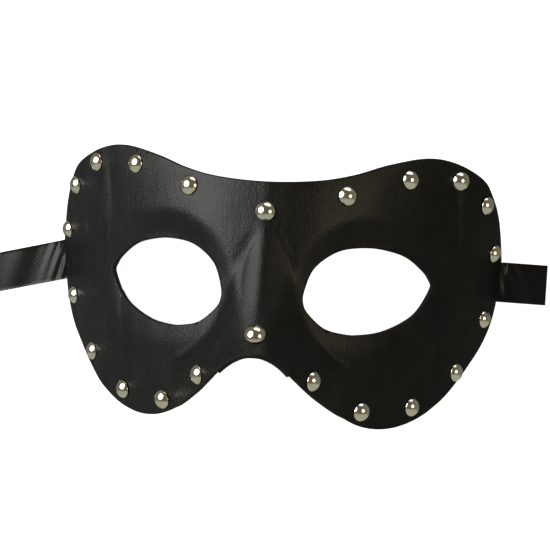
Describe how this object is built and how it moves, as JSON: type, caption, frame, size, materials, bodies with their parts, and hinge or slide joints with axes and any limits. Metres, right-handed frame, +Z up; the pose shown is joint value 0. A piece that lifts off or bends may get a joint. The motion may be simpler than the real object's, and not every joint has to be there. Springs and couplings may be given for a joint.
{
  "type": "studded masquerade mask",
  "caption": "Half face mask of moulded black leather with almond eye holes, a nose ridge, domed metal studs round the edge and two satin tie ribbons",
  "frame": {"origin": "on the table, at the middle of the footprint of mask and ribbons together; the mask's mirror line lies 4.9 mm towards +X because the left ribbon is the longer one", "axes": "+X is the viewer's right across the face, +Y the top of the mask, +Z up out of the face; the mask lies face up"},
  "size_m": [0.2224, 0.0994, 0.0847],
  "materials": {
    "leather": "semi-matt, fine grain",
    "metal": "polished nickel",
    "ribbon": "satin"
  },
  "bodies": {
    "root": {"mask_shell": "leather", "stud_brow": "metal", "stud_nose": "metal", "stud_left_1": "metal", "stud_left_2": "metal", "stud_left_3": "metal", "stud_left_4": "metal", "stud_left_5": "metal", "stud_left_6": "metal", "stud_left_7": "metal", "stud_left_8": "metal", "stud_left_9": "metal", "stud_left_10": "metal", "stud_right_1": "metal", "stud_right_2": "metal", "stud_right_3": "metal", "stud_right_4": "metal", "stud_right_5": "metal", "stud_right_6": "metal", "stud_right_7": "metal", "stud_right_8": "metal", "stud_right_9": "metal", "stud_right_10": "metal", "ribbon_left": "ribbon", "ribbon_right": "ribbon"}
  },
  "joints": []
}
